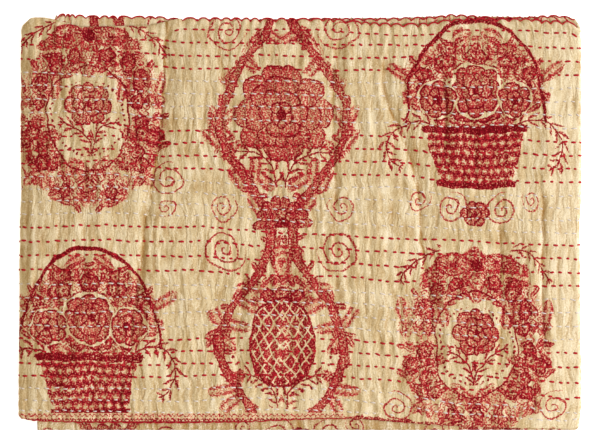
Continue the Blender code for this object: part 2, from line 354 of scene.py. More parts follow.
turned_under = np.clip(1.0 - from_low / ROLL_RADIUS, 0.0, 1.0) * smooth((x - 0.02) / 0.03)
drop = 1.0 - np.sqrt(1.0 - np.maximum(rolled, turned_under * 0.5) ** 2)
lift = lift * (1.0 - drop * on_front[:, None])
middle_line[:, :, 2] += lift

step_out = np.gradient(np.stack([section_x, section_z], axis=1), axis=0)
step_out /= np.linalg.norm(step_out, axis=1)[:, None]
outward = np.stack([step_out[:, 1], np.zeros(column_count), -step_out[:, 0]], axis=1)[:, None, :]

PUFF_HEIGHT = 0.0010
in_row = rows_up - np.floor(rows_up)
row_number = np.floor(rows_up)
puff = np.sin(math.pi * in_row) ** 0.75
strayed = x + 0.005 * soft_noise(x / 0.07, y / 0.04, 24)
calm = 1.0 - 0.55 * smooth((x - 0.245) / 0.02)
crease = 0.0006 * soft_noise(strayed / 0.0105, y / 0.050, 21)
crease += 0.0012 * soft_noise(strayed / 0.0056, y / 0.034, 22)
crease += 0.0007 * soft_noise(strayed / 0.0034, y / 0.021, 25)
crease = crease * calm
wrinkle = soft_noise(x / 0.0125, row_number * 0.37 + 0.2, 23)
quilting = PUFF_HEIGHT * puff * (1.0 + 0.45 * wrinkle) + (0.55 + 0.45 * puff) * crease
near_hem = smooth(from_top / 0.003) * smooth(from_low / 0.003)
quilting = quilting * (0.25 + 0.75 * near_hem)
hem_row = smooth(from_top / 0.002) * np.exp(-(((from_top - 0.0055) / 0.003) ** 2))
quilting += 0.0011 * hem_row * (0.6 + 0.8 * (1.0 - scallop(0, x)))
quilting = np.maximum(quilting, -0.0001) * front_share[:, None]
hidden_puff = 0.00022 * puff * (1.0 + wrinkle) * (1.0 - front_share[:, None])
hidden_puff[under_start : under_end + 1] = 0.0
hem_puff = smooth(from_top / 0.0022) * (1.0 - smooth((from_top - 0.006) / 0.007)) * (1.0 - scallop(1, x))
hidden_puff += 0.0011 * hem_puff * end_layer
hem_share = np.where(np.minimum(layer_from, layer_to) > 1, HIDDEN_HEM_SHARE, HEM_SHARE)[:, None]
thickness = CLOTH_THICK * (hem_share + (1.0 - hem_share) * smooth(np.minimum(from_top, from_low) / 0.0026))
face_out = middle_line + outward * (thickness / 2 + quilting + hidden_puff)[:, :, None]
face_in = middle_line - outward * (thickness / 2)[:, :, None]
face_out[:, :, 2] = np.maximum(face_out[:, :, 2], 0.0)

# The faces of the front, its right turn and the left side have every station.
runs = np.linalg.norm(np.diff(np.stack([section_x, section_z], axis=1), axis=0), axis=1)
run_length = np.concatenate([[0.0], np.cumsum(runs)])
flat_u = section_x[front_start] - (run_length - run_length[front_start])
# The other strips need few stations, close together only where the hems thin the cloth.
few = [0, 1, 2, 5, 20, 55, 105, 140]
few += [station_count - back for back in (6, 3, 2, 1)]
fine_out = np.zeros(column_count - 1, bool)
fine_out[front_start - TURN_COLUMNS : under_start - 1] = True
fine_in = np.zeros(column_count - 1, bool)
polygons = []


def strip_faces(side, fine):
    """Faces of the cloth's outer side, 0, or inner side, 1, with every station in the fine columns."""
    for column in range(column_count - 1):
        marks = range(station_count) if fine[column] else few
        before_fine = column > 0 and fine[column - 1] and not fine[column]
        after_fine = column < column_count - 2 and fine[column + 1] and not fine[column]
        for start, end in zip(marks, marks[1:]):
            near = list(range(start, end + 1)) if before_fine else [start, end]
            far = list(range(start, end + 1)) if after_fine else [start, end]
            loop = [(side, column, mark) for mark in near]
            loop += [(side, column + 1, mark) for mark in far[::-1]]
            polygons.append(loop if side == 0 else loop[::-1])


strip_faces(0, fine_out)
strip_faces(1, fine_in)
top_mark = station_count - 1
for column in range(column_count - 1):
    polygons.append([(0, column, 0), (0, column + 1, 0), (1, column + 1, 0), (1, column, 0)])
    after = column + 1
    outer_edge = [(0, after, top_mark), (0, column, top_mark)]
    polygons.append(outer_edge + [(1, column, top_mark), (1, after, top_mark)])
for start, end in zip(few, few[1:]):
    polygons.append([(0, 0, end), (0, 0, start), (1, 0, start), (1, 0, end)])
    tail = column_count - 1
    polygons.append([(0, tail, start), (0, tail, end), (1, tail, end), (1, tail, start)])
numbers = {}
places = []
flats = []
crease_shade_marks = []
faces = []
for loop in polygons:
    face = []
    for corner in loop:
        if corner not in numbers:
            numbers[corner] = len(places)
            side_at, column, mark = corner
            places.append((face_out if side_at == 0 else face_in)[column, mark])
            flats.append((flat_u[column], middle_line[column, mark, 1]))
            crease_shade_marks.append(crease_shade_line[column, mark] if on_front[column] and side_at == 0 else 0.0)
        face.append(numbers[corner])
    faces.append(face)
cloth_mesh = bpy.data.meshes.new("quilt_cloth")
cloth_mesh.from_pydata(places, [], faces)
flats = np.array(flats)
corner_points = np.empty(len(cloth_mesh.loops), int)
cloth_mesh.loops.foreach_get("vertex_index", corner_points)
flat_map = cloth_mesh.uv_layers.new(name="cloth_flat")
flat_map.data.foreach_set("uv", flats[corner_points].ravel())
# The painted crease shade reaches the print material as a point attribute.
pressed = cloth_mesh.attributes.new("pressed", "FLOAT", "POINT")
pressed.data.foreach_set("value", np.array(crease_shade_marks))
cloth_mesh.polygons.foreach_set("use_smooth", np.ones(len(faces), bool))
cloth_mesh.update()
cloth = bpy.data.objects.new("quilt_cloth", cloth_mesh)
bpy.context.collection.objects.link(cloth)

# The cottons are plain weave, printed with the red dye before they were quilted. The print is a trade
# pattern of flower baskets, wreaths, a waving vine, peonies and scrolls, in columns mirrored on their
# middle lines. All its sizes are millimetres of flat cloth, read from the map of the unfolded cloth.


class Dye:
    """A socket in a material's nodes. An expression on it adds the Math nodes."""

    def __init__(self, tree, socket):
        self.tree = tree
        self.socket = socket

    def make(self, kind, settings, values, output=0):
        """A new node of this kind: its settings first, then the value or link of each socket."""
        node = self.tree.nodes.new(kind)
        for name, setting in settings.items():
            if name == "stops":
                stops = node.color_ramp.elements
                for at, colour in setting[1:-1]:
                    stops.new(at).color = (*colour, 1.0)
                for stop, (at, colour) in ((stops[0], setting[0]), (stops[-1], setting[-1])):
                    stop.position = at
                    stop.color = (*colour, 1.0)
            else:
                setattr(node, name, setting)
        for name, value in values.items():
            if isinstance(value, Dye):
                self.tree.links.new(value.socket, node.inputs[name])
            else:
                node.inputs[name].default_value = value
        return Dye(self.tree, node.outputs[output])

    def maths(self, operation, *others, clamp=False):
        values = dict(enumerate((self, *others)))
        return self.make("ShaderNodeMath", {"operation": operation, "use_clamp": clamp}, values)

    def vector(self, operation, *others, output=0):
        values = dict(enumerate((self, *others)))
        return self.make("ShaderNodeVectorMath", {"operation": operation}, values, output)

    def parts(self):
        """The x and y of this vector."""
        x = self.make("ShaderNodeSeparateXYZ", {}, {0: self})
        return x, Dye(self.tree, x.socket.node.outputs[1])

    def __add__(self, other):
        return self.maths("ADD", other)

    __radd__ = __add__

    def __mul__(self, other):
        return self.maths("MULTIPLY", other)

    __rmul__ = __mul__

    def __sub__(self, other):
        return self.maths("SUBTRACT", other)

    def __rsub__(self, other):
        return self * -1.0 + other

    def __truediv__(self, other):
        return self.maths("DIVIDE", other)

    def __abs__(self):
        return self.maths("ABSOLUTE")

    def __or__(self, other):
        """The darker of two inks."""
        return self.maths("MAXIMUM", other)

    def __and__(self, other):
        """The lesser of two inks or distances."""
        return self.maths("MINIMUM", other)

    def below(self, edge, soft=1.0):
        """1 where this is under the edge and 0 where it is over, soft wide between."""
        return self.maths("MULTIPLY_ADD", -1.0 / soft, edge / soft + 0.5, clamp=True)


printed = bpy.data.materials.new("printed_cotton")
printed.use_nodes = True
tree = printed.node_tree
shader = tree.nodes["Principled BSDF"]
flat_cloth = Dye(tree, None).make("ShaderNodeUVMap", {"uv_map": "cloth_flat"}, {})
flat_mm = flat_cloth.vector("MULTIPLY", (1000.0, 1000.0, 0.0))


def noise(place, scale, detail=2.0, output=0):
    values = {"Vector": place, "Scale": scale, "Detail": detail, "Roughness": 0.6}
    return place.make("ShaderNodeTexNoise", {"noise_dimensions": "2D"}, values, output)


PRINT_COLUMN = 170.0
PRINT_START = -185.0
PRINT_SIZE = 1.2
PRINT_REPEAT = 400.0
PRINT_RISE = 210.0
VINE_COLUMN = 200.0
bend = noise(flat_mm, 0.02, output=1).vector("SUBTRACT", (0.5, 0.5, 0.5))
bend = bend.vector("MULTIPLY", (16.0, 12.0, 0.0))
fray = noise(flat_mm, 0.45, output=1).vector("SUBTRACT", (0.5, 0.5, 0.5))
fray = fray.vector("MULTIPLY", (2.0, 2.0, 0.0))
drawn = flat_mm.vector("ADD", bend).vector("ADD", fray)
across, up = drawn.vector("MULTIPLY", (1 / PRINT_SIZE, 1 / PRINT_SIZE, 0.0)).parts()
columns = (across - PRINT_START) / PRINT_COLUMN
nearest = columns.maths("ROUND")
is_vine = nearest.maths("FLOORED_MODULO", 2.0)
stepped = (nearest * 0.5).maths("FLOOR").maths("FLOORED_MODULO", 2.0)
aside = abs(columns - nearest) * PRINT_COLUMN + is_vine * VINE_COLUMN
climb = (up + PRINT_RISE + stepped * (PRINT_REPEAT / 2)).maths("FLOORED_MODULO", PRINT_REPEAT)
place = aside.make("ShaderNodeCombineXYZ", {}, {0: aside, 1: climb})


def oval(at, x, y, wide, high):
    """The distance from a middle, 1 all along the oval's edge."""
    values = ((1 / wide, 1 / high, 0.0), (-x / wide, -y / high, 0.0))
    return at.vector("MULTIPLY_ADD", *values).vector("LENGTH", output=1)


def near_oval(at, x, y, wide, high):
    """About how many millimetres a place lies from an oval's edge."""
    return abs(oval(at, x, y, wide, high) - 1.0) * (wide + high) * 0.5


def polar(at, x, y):
    """Millimetres from a middle, and the turn in radians from its right."""
    own = at.vector("SUBTRACT", (x, y, 0.0))
    own_x, own_y = own.parts()
    return own.vector("LENGTH", output=1), own_y.maths("ARCTAN2", own_x)


def bloom(at, x, y, rings):
    """A flower from the front. Each ring of petals, the outer one first: radius, petals and first turn."""
    far, turn = polar(at, x, y)
    ink = None
    for radius, petals, first in rings:
        fold = abs((turn * (petals / 2) + first).maths("COSINE"))
        rim = far - fold.maths("SQRT") * (0.2 * radius) - 0.8 * radius
        inside = rim.below(0.0)
        lines = (fold * far).below(0.8 * petals / 2, petals / 3) | abs(rim + 1.0).below(0.9)
        shade = (far / radius).maths("POWER", 2.0) * 0.32 + 0.3
        petal = (lines | shade) * inside
        ink = petal if ink is None else ink * (1 - inside) + petal
    return ink | far.below(rings[-1][0] * 0.4)


FLOWER_RINGS = (
    # share of the way out, ink in three equal parts
    (0.00, (0.9, 0.9, 0.9)),
    (0.16, (0.9, 0.9, 0.9)),
    (0.24, (0.22, 0.22, 0.22)),
    (0.42, (0.40, 0.40, 0.40)),
    (0.62, (0.62, 0.62, 0.62)),
    (0.84, (1.0, 1.0, 1.0)),
    (0.93, (1.0, 1.0, 1.0)),
    (1.00, (0.0, 0.0, 0.0)),
)


def lattice(at, size, looseness):
    """The middle of the loose lattice cell that owns each place, and the place measured from it."""
    values = {"Vector": at, "Scale": 1.0 / size, "Randomness": looseness}
    cells = at.make("ShaderNodeTexVoronoi", {"voronoi_dimensions": "2D"}, values, 2)
    return cells, at.vector("SUBTRACT", cells)


def flower_field(at, size, petals, reach):
    """Small flowers on a lattice: the ink, and the middle of the flower that owns each place."""
    cells, own = lattice(at, size, 0.8)
    own_x, own_y = own.parts()
    fold = abs((own_y.maths("ARCTAN2", own_x) * (petals / 2)).maths("COSINE"))
    far = own.vector("LENGTH", output=1) / (fold * 0.22 + 0.78)
    rings = {"stops": FLOWER_RINGS}
    return at.make("ShaderNodeValToRGB", rings, {"Fac": far / (size * reach)}), cells


def leaf_field(at, size):
    """Leaves lying every way on a lattice: the ink, and the middle of each place's leaf."""
    cells, own = lattice(at, size, 1.0)
    turn = Dye(at.tree, cells.socket.node.outputs["Color"]).parts()[0] * (2 * math.pi)
    values = {"Vector": own, "Angle": turn}
    turned = own.make("ShaderNodeVectorRotate", {"rotation_type": "Z_AXIS"}, values)
    along, beside = turned.parts()
    slim = abs(beside) / (0.30 * size)
    body = (slim + (along / (0.62 * size)).maths("POWER", 2.0)).below(1.0, 0.3)
    return body * (abs(slim - 0.45).below(0.2, 0.2) * 0.45 + 0.5), cells


def spray(at, x, y, radius, start, end, leaves, length):
    """Paired leaves along a curved stem, an arc round a middle from one turn to another, in degrees."""
    far, turn = polar(at, x, y)
    share = (turn - math.radians(start)) / math.radians(end - start)
    off = far - radius
    beside = abs(off) / length
    step = abs((share * leaves - beside * 0.9).maths("FRACT") - 0.5)
    leaf = (step + abs(beside - 0.5) * 0.55).below(0.30, 0.1) * beside.below(1.0, 0.2)
    stem = abs(off).below(0.7)
    vein = step.below(0.06, 0.08) * 0.5
    return ((leaf * (vein + 0.5)) | stem) * abs(share - 0.5).below(0.5, 0.04)


def curl(at, x, y, lead, radius, end, line):
    """A spiral line that winds in from its radius, where it starts at a turn in degrees."""
    far, turn = polar(at, x, y)
    start = 0.5 - radius / lead - end / 360.0
    wound = (far / lead + turn / (2 * math.pi) + start).maths("FRACT")
    return abs(wound - 0.5).below(line / 2 / lead, 1.0 / lead) * far.below(radius)


def beads(at, x, y, radius, count, size):
    """A ring of round dots."""
    far, turn = polar(at, x, y)
    along = ((turn * (count / (2 * math.pi))).maths("FRACT") - 0.5) * (2 * math.pi * radius / count)
    off = far - radius
    return (along * along + off * off).maths("SQRT").below(size / 2)


VINE_NARROW = 9.0
VINE_WIDE = 56.0


def off_vine(at):
    """Millimetres from the vine's waving line."""
    at_x, at_y = at.parts()
    wave = (at_y * (math.pi * 2 / PRINT_REPEAT)).maths("SINE").maths("POWER", 2.0)
    return abs(at_x - wave * (VINE_WIDE - VINE_NARROW) - (VINE_COLUMN + VINE_NARROW)) * 0.85


def off_flowers(at):
    """Millimetres outside the flower heaps: the basket's, the wreath and the sprig inside the vine."""
    heap = (oval(at, 0.0, 132.0, 54.0, 36.0) - 1.0) * 45.0
    wreath = near_oval(at, 0.0, 302.0, 52.0, 62.0) - 9.0
    crown = (oval(at, VINE_COLUMN, 148.0, 17.0, 13.0) - 1.0) * 15.0
    return heap & wreath & crown


fronds, frond_at = leaf_field(place, 23.0)
ink = fronds * (off_flowers(frond_at).below(13.0) | off_vine(frond_at).below(13.0)) * 0.60
haze = off_flowers(place).below(11.0, 14.0) | off_vine(place).below(7.0, 10.0)
ink = (ink | haze * 0.28) * off_flowers(place).maths("MULTIPLY_ADD", 0.2, 1.2, clamp=True)
leaves, leaf_at = leaf_field(place, 10.0)
ink = ink | leaves * (off_flowers(leaf_at).below(10.0) | off_vine(leaf_at).below(7.0)) * 0.85
posies, posy_at = flower_field(place, 6.2, 4.0, 0.60)
ink = ink | posies * off_flowers(posy_at).below(4.5) * 0.62
roses, rose_at = flower_field(place, 14.0, 5.0, 0.52)
ink = ink | roses * off_flowers(rose_at).below(-1.0)


def flower_over(ink, x, y, clear, rings):
    """The ink with a flower on it, and bare cloth behind the flower out to the clear radius."""
    around = oval(place, x, y, clear, clear).maths("GREATER_THAN", 1.0)
    return bloom(place, x, y, rings) | ink * around


# The basket with its heap of flowers and its handle.
place_x, place_y = place.parts()
side_out = abs(place_x) - place_y * 0.26 - 20.0
weave_x = abs((place_x / 7.0 + (place_y / 8.0).maths("ROUND") * 0.5).maths("FRACT") - 0.5)
weave_y = abs((place_y / 8.0 + 0.5).maths("FRACT") - 0.5)
cane = weave_x + weave_y * 1.2 + 0.1
basket = side_out.below(0.0) * abs(place_y - 68.0).below(26.0)
bands = (abs(place_y - 92.0).below(3.6) | abs(place_y - 43.0).below(2.6)) * side_out.below(3.0)
ink = ink * (1 - basket) + basket * cane | bands
ink = flower_over(ink, 0.0, 126.0, 24.0, ((23.0, 8, 0.0), (16.0, 6, 0.5), (9.0, 5, 0.2)))
ink = flower_over(ink, 35.0, 118.0, 16.5, ((16.0, 6, 0.9), (10.0, 5, 0.0)))
ink = ink | near_oval(place, 0.0, 96.0, 62.0, 92.0).below(1.6) * place_y.maths("GREATER_THAN", 96.0)
ink = ink | bloom(place, 0.0, 18.0, ((12.0, 6, 0.0), (7.0, 5, 0.4)))

# The wreath, tied with a bow, round a single rose.
ink = ink | near_oval(place, 0.0, 302.0, 37.0, 47.0).below(0.8) | beads(place, 0.0, 302.0, 33.0, 44, 2.2)
ink = flower_over(ink, 0.0, 314.0, 22.0, ((21.0, 7, 0.3), (14.0, 6, 0.0), (8.0, 5, 0.7)))
bow = oval(place, 19.0, 374.0, 17.0, 10.0)
knot = oval(place, 0.0, 373.0, 6.0, 6.0).below(1.0, 0.1)
ink = ink | bow.below(1.0, 0.1) * abs(bow - 0.55).maths("MULTIPLY_ADD", 1.6, 0.15) | knot

# The vine, which opens round a seed head and a peony, with a fan of petals where it closes.
ink = ink | off_vine(place).below(3.2) * 0.55 | abs(off_vine(place) - 3.0).below(0.6)
seeds = oval(place, VINE_COLUMN, 104.0, 29.0, 40.0)
slant = place_x * 0.5 + place_y * 0.36
other = place_x * 0.5 - place_y * 0.36
net = abs((slant / 4.6).maths("FRACT") - 0.5).maths("MAXIMUM", abs((other / 4.6).maths("FRACT") - 0.5))
seed_ink = net.below(0.42, 0.12) * (seeds * 0.35 + 0.5)
seed_head = seeds.below(1.0, 0.04) * seed_ink | abs(seeds - 0.97).below(0.035, 0.02)
ink = ink * seeds.maths("GREATER_THAN", 1.0) | seed_head
ink = ink | beads(place, VINE_COLUMN, 104.0, 46.0, 40, 2.6) * place_y.maths("LESS_THAN", 104.0)
peony = ((43.0, 9, 0.0), (33.0, 8, 0.8), (23.0, 6, 0.2), (13.0, 5, 1.0))
ink = ink | bloom(place, VINE_COLUMN, 306.0, peony)
fan = ((26.0, 14, 0.0), (15.0, 9, 0.0))
ink = ink | bloom(place, VINE_COLUMN, 208.0, fan) * place_y.maths("GREATER_THAN", 204.0)
ink = ink | bloom(place, VINE_COLUMN, 8.0, fan) * place_y.maths("GREATER_THAN", 4.0)

# Leafy sprays and thin lighter scrolls fill the ground beside the basket, the wreath and the vine.
SPRAYS = (
    # x and y of the stem's arc, its radius, first and last turn in degrees, pairs of leaves, their length
    (52.0, 76.0, 24.0, 130.0, -60.0, 9.0, 8.0),
    (30.0, 268.0, 30.0, 185.0, 95.0, 5.0, 7.0),
    (24.0, 340.0, 46.0, 80.0, 20.0, 6.0, 6.0),
    (VINE_COLUMN + 34.0, 46.0, 30.0, 180.0, 80.0, 7.0, 9.0),
    (VINE_COLUMN + 36.0, 240.0, 32.0, 180.0, 60.0, 7.0, 9.0),
)
SCROLLS = (
    # x and y, space between turns, radius, outer end in degrees, width of the line
    (22.0, 22.0, 6.5, 15.0, 110.0, 1.8),
    (50.0, 30.0, 5.0, 10.0, 180.0, 1.6),
    (70.0, 248.0, 6.5, 15.0, 90.0, 1.6),
    (68.0, 222.0, 5.0, 9.0, -90.0, 1.4),
    (250.0, 186.0, 7.0, 20.0, 200.0, 1.8),
    (252.0, 224.0, 5.5, 13.0, 160.0, 1.6),
    (250.0, 380.0, 7.0, 19.0, 200.0, 1.8),
    (252.0, 20.0, 5.5, 13.0, 160.0, 1.6),
)
SCROLL_INK = 0.62
for each in SPRAYS:
    ink = ink | spray(place, *each)
for each in SCROLLS:
    ink = ink | curl(place, *each) * SCROLL_INK

# The printed selvage: two rows of short wavy marks and a line, where the left of the bottom hem shows it.
# To its right a worn patch of the red shows along the sloping hem.
SELVAGE_TOP = -200.9
UPPER_MARKS = -203.6
LOWER_MARKS = -208.3
SELVAGE_LINE = -209.9
SELVAGE_END = 46.0
SELVAGE_INK = 0.34
PATCH_TOP = -204.9
PATCH_SLOPE = 0.073
PATCH_MIDDLE = 112.0
PATCH_HALF = 64.0
u_mm, v_mm = flat_mm.parts()
stagger = noise(flat_mm, 0.16).maths("MULTIPLY_ADD", 9.0, u_mm * 1.15)
upper_row = abs(v_mm - UPPER_MARKS - stagger.maths("SINE") * 1.2).below(0.8, 0.5)
lower_row = abs(v_mm - LOWER_MARKS - (stagger * 1.37).maths("SINE") * 1.1).below(1.1, 0.6)
marks = (upper_row * 0.8 | lower_row) * noise(flat_mm, 0.38).below(0.68, 0.2)
band = v_mm.below(SELVAGE_TOP) * u_mm.below(SELVAGE_END, 4.0)
ink = ink * (1 - band) + band * (marks | v_mm.below(SELVAGE_LINE, 0.8) | SELVAGE_INK)
off_hem = v_mm + u_mm * PATCH_SLOPE - PATCH_TOP - noise(flat_mm, 0.10) * 9.0
patch = off_hem.below(0.0, 1.6) * abs(u_mm - PATCH_MIDDLE).below(PATCH_HALF, 12.0)
ink = ink | patch * (noise(flat_mm, 0.55) * 1.3)


def shown(red, green, blue):
    """A colour as it shows on screen, 0 to 255, as the linear values that a node takes."""
    return tuple(((part / 255 + 0.055) / 1.055) ** 2.4 for part in (red, green, blue))


def blend(first, second, share):
    """The first colour with a share of the second in its place."""
    values = {0: share, 6: first, 7: second}
    return share.make("ShaderNodeMix", {"data_type": "RGBA"}, values, 2)


# The engraving breaks the red into specks, and washing has taken a little of it.
specks = noise(flat_mm, 0.55, 3.0)
wash = noise(flat_mm, 0.012)
level = ink * (1 - band * 0.6) * (specks * 2.7 + wash * 0.5 - 0.79) + ink * band * SELVAGE_INK
DYES = (
    # ink, colour
    (0.20, shown(222, 164, 124)),
    (0.38, shown(200, 94, 80)),
    (0.54, shown(177, 26, 45)),
    (0.78, shown(142, 1, 25)),
    (1.00, shown(112, 0, 15)),
)
red = level.make("ShaderNodeValToRGB", {"stops": DYES}, {"Fac": level})
cover = (0.25 - level).below(0.0, 0.14)
GROUND_TONES = (
    # share of the wash and painted light, colour
    (0.3, shown(213, 188, 142)),
    (0.5, shown(225, 203, 160)),
    (0.7, shown(236, 217, 179)),
)
# Painted light: the ground is lighter along the front's right side, which rolls over towards the light.
painted_light_right = (1 - u_mm.below(258.0, 16.0)) * u_mm.below(296.0, 4.0)
wash_and_painted_light = noise(flat_mm, 0.045) + painted_light_right * 0.16
ground = level.make("ShaderNodeValToRGB", {"stops": GROUND_TONES}, {"Fac": wash_and_painted_light})

# Between the stitches the cloth is drawn into narrow creases that run up and down, and the threads of the
# weave show close to. The creases are bumps in the surface, and the colour also has painted shade in their
# valleys and painted highlights on their ridges.
creased = flat_mm.vector("ADD", noise(flat_mm, 0.030, 1.0, 1).vector("MULTIPLY", (9.0, 0.0, 0.0)))
pucker = noise(creased.vector("MULTIPLY", (0.068, 0.012, 0.0)), 1.0, 1.0)
valley = abs(pucker - 0.5).below(0.018, 0.06)
ripple = noise(creased.vector("MULTIPLY", (0.110, 0.020, 0.0)), 1.0)
strayed_mm = creased.vector("ADD", noise(flat_mm, 0.10, 1.0, 1).vector("MULTIPLY", (5.0, 0.0, 0.0)))
pleat = noise(strayed_mm.vector("MULTIPLY", (0.20, 0.034, 0.0)), 1.0, 1.0)
crest = abs(pleat - 0.56).below(0.016, 0.05)
warp = (u_mm * (2 * math.pi / 0.72)).maths("SINE")
weft = (v_mm * (2 * math.pi / 0.80)).maths("SINE")
slub = noise(flat_mm.vector("MULTIPLY", (0.30, 2.2, 0.0)), 1.0)
slub = slub + noise(flat_mm.vector("MULTIPLY", (2.2, 0.30, 0.0)), 1.0)
height = ripple * 1.1 + pleat * 1.35 + crest * 0.14 - valley * 0.34 + warp * weft * 0.04 + slub * 0.20
relief = height.make("ShaderNodeBump", {}, {"Strength": 1.0, "Distance": 0.001, "Height": height})
grain = noise(flat_mm.vector("MULTIPLY", (1.0, 0.6, 0.0)), 0.9, 3.0)
crease_shade_in = flat_mm.make("ShaderNodeAttribute", {"attribute_name": "pressed"}, {}, 2)
nap = noise(flat_mm, 0.62, 1.0)
# Painted shadow: the second layer's strip that shows below the front's bottom hem is darker, as in the
# front's shadow.
painted_shadow_below_front = v_mm.below(-206.0, 4.0) * (1 - u_mm.below(300.0))
# Painted shade: darker in the crease valleys, in the low parts of the puckers and pleats, along the crease
# lines and in the shadow below the front. The grain and nap terms are the weave's own uneven tone.
shade = valley * 0.28 + (0.5 - ripple) * 0.55 + (0.48 - pleat) * 1.25 + crease_shade_in * 0.7 + painted_shadow_below_front * 0.42
shade = shade + (0.5 - grain) * 0.7 + (0.5 - nap) * 0.8 + 0.05
# Painted highlight on the high parts of the puckers, pleats and crests, with the weave's own grain and
# nap.
ridge_light = (ripple - 0.52) + (pleat - 0.52) * 0.9 + crest * 0.34
ridge_light = ridge_light + (grain - 0.5) + (nap - 0.5) * 1.2
ridge_light = ridge_light.maths("MULTIPLY", 0.9, clamp=True)
# The ground takes the painted highlight and then the painted shade; the red print takes painted shade as
# well.
ground_with_painted_highlight = blend(ground, (*shown(254, 243, 222), 1.0), ridge_light)
ground_with_painted_shade = blend(ground_with_painted_highlight, (*shown(172, 128, 68), 1.0), shade.maths("MULTIPLY", 1.0, clamp=True))
red_with_painted_shade = blend(red, (*shown(98, 2, 10), 1.0), shade.maths("MULTIPLY", 0.8, clamp=True))
colour = blend(ground_with_painted_shade, red_with_painted_shade, cover)
tree.links.new(colour.socket, shader.inputs["Base Color"])
tree.links.new(relief.socket, shader.inputs["Normal"])
tree.links.new((specks * 0.1 + 0.82).socket, shader.inputs["Roughness"])
shader.inputs["Specular IOR Level"].default_value = 0.12
cloth_mesh.materials.append(printed)
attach(cloth, "root")
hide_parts("quilt")

# The running stitches are thick soft cotton, sewn by hand through both cloths in bands of four rows: red,
# then white. Each stitch shows as a short raised dash that dips into the cloth at both ends.
STITCH_PITCH = 0.0091
STITCH_HEIGHT = 0.00060
STITCH_PLACES = np.array([-0.5, -0.40, 0.0, 0.40, 0.5])
STITCH_ARCH = np.array([-0.35, 0.25, 0.60, 0.25, -0.35]) * 0.001
STITCH_TAPER = np.array([0.35, 0.85, 1.0, 0.85, 0.35])
RED_ROWS = (1, 2, 3, 4, 9, 10, 11, 12, 17, 18, 19, 20, 25, 26, 27, 28)
LEAST_TO_HEM = 0.0072
LEAST_TO_TOP = 0.0040
RED_HALF_WIDTH = 0.00120
WHITE_HALF_WIDTH = 0.00078
RED_THREAD = (0.48, 0.008, 0.018)
WHITE_THREAD = (0.82, 0.70, 0.65)
along_cloth = np.gradient(face_out, axis=1)
across_cloth = np.gradient(face_out, axis=0)
face_normal = np.cross(along_cloth, across_cloth)
face_normal /= np.maximum(np.linalg.norm(face_normal, axis=2), 1e-12)[:, :, None]


def read_grid(grid, columns, station):
    """A grid's values at fractional columns of one station."""
    left = np.clip(np.floor(columns).astype(int), 0, column_count - 2)
    share = (columns - left)[:, None]
    return grid[left, station] * (1.0 - share) + grid[left + 1, station] * share


def stitch_tubes(centres, normals, widths, heights, sides):
    """A closed tube for each row of centres, and its map: metres along the thread and turns round it."""
    count, rings, _ = centres.shape
    along = np.gradient(centres, axis=1)
    along /= np.maximum(np.linalg.norm(along, axis=2), 1e-12)[:, :, None]
    aside = np.cross(normals, along)
    turn = np.arange(sides) * 2 * math.pi / sides
    points = (
        centres[:, :, None, :]
        + aside[:, :, None, :] * (np.cos(turn)[None, None, :, None] * widths[None, :, None, None])
        + normals[:, :, None, :] * (np.sin(turn)[None, None, :, None] * heights[None, :, None, None])
    )
    steps = np.linalg.norm(np.diff(centres, axis=1), axis=2)
    run = np.concatenate([np.zeros((count, 1)), np.cumsum(steps, axis=1)], axis=1)
    run += np.arange(count)[:, None] * 0.00137
    faces = []
    flats = []
    for tube in range(count):
        base = tube * rings * sides
        for ring in range(rings - 1):
            near, far = run[tube, ring : ring + 2]
            for corner in range(sides):
                a = base + ring * sides + corner
                b = base + ring * sides + (corner + 1) % sides
                faces.append((a, b, b + sides, a + sides))
                first, second = corner / sides, (corner + 1) / sides
                flats += [(near, first), (near, second), (far, second), (far, first)]
        faces.append(tuple(base + corner for corner in range(sides))[::-1])
        faces.append(tuple(base + (rings - 1) * sides + corner for corner in range(sides)))
        flats += [(run[tube, 0], 0.0)] * sides + [(run[tube, -1], 0.0)] * sides
    return points.reshape(-1, 3), faces, flats


def stitch_row(row, rng):
    """The centres and normals of one row's stitches, over the front, the left side and the underside."""
    station = (ROW_COUNT + 1 - row) * STEPS_PER_ROW
    at = run_length[front_start - TURN_COLUMNS + 2] + rng.uniform(0.0, STITCH_PITCH)
    end = run_length[under_end] - 0.004
    tubes = []
    tube_normals = []
    while at < end:
        pitch = STITCH_PITCH * rng.uniform(0.84, 1.18)
        length = pitch * rng.uniform(0.38, 0.68)
        columns = np.interp(at + STITCH_PLACES * length, run_length, np.arange(column_count))
        centre = read_grid(face_out, columns, station)
        normal = read_grid(face_normal, columns, station)
        normal /= np.linalg.norm(normal, axis=1)[:, None]
        slide = rng.normal(0.0, 0.0004) + np.linspace(-1.0, 1.0, 5) * rng.normal(0.0004, 0.0005)
        centre[:, 1] += slide
        bottom = middle_line[int(columns[2]), 0, 1]
        top = middle_line[int(columns[2]), -1, 1]
        on_roll = row == 1 and columns[2] > front_start and centre[2, 0] < ROLL_END
        hidden = centre[2, 1] - bottom < LEAST_TO_HEM or top - centre[2, 1] < LEAST_TO_TOP or on_roll
        if not hidden:
            centre += normal * STITCH_ARCH[:, None]
            tubes.append(centre)
            tube_normals.append(normal)
        at += pitch
    return tubes, tube_normals


def sew_rows(name, rows, seed, width, colour):
    rng = np.random.default_rng(seed)
    tubes = []
    tube_normals = []
    for row in rows:
        more, more_normals = stitch_row(row, rng)
        tubes += more
        tube_normals += more_normals
    sizes = (width * STITCH_TAPER, STITCH_HEIGHT * STITCH_TAPER)
    dashes = stitch_tubes(np.array(tubes), np.array(tube_normals), *sizes, 6)
    return thread_piece(name, *dashes, colour)


PLY_TWIST = 2.1
PRESSED_FLAT = -0.00025
PLIES = 3


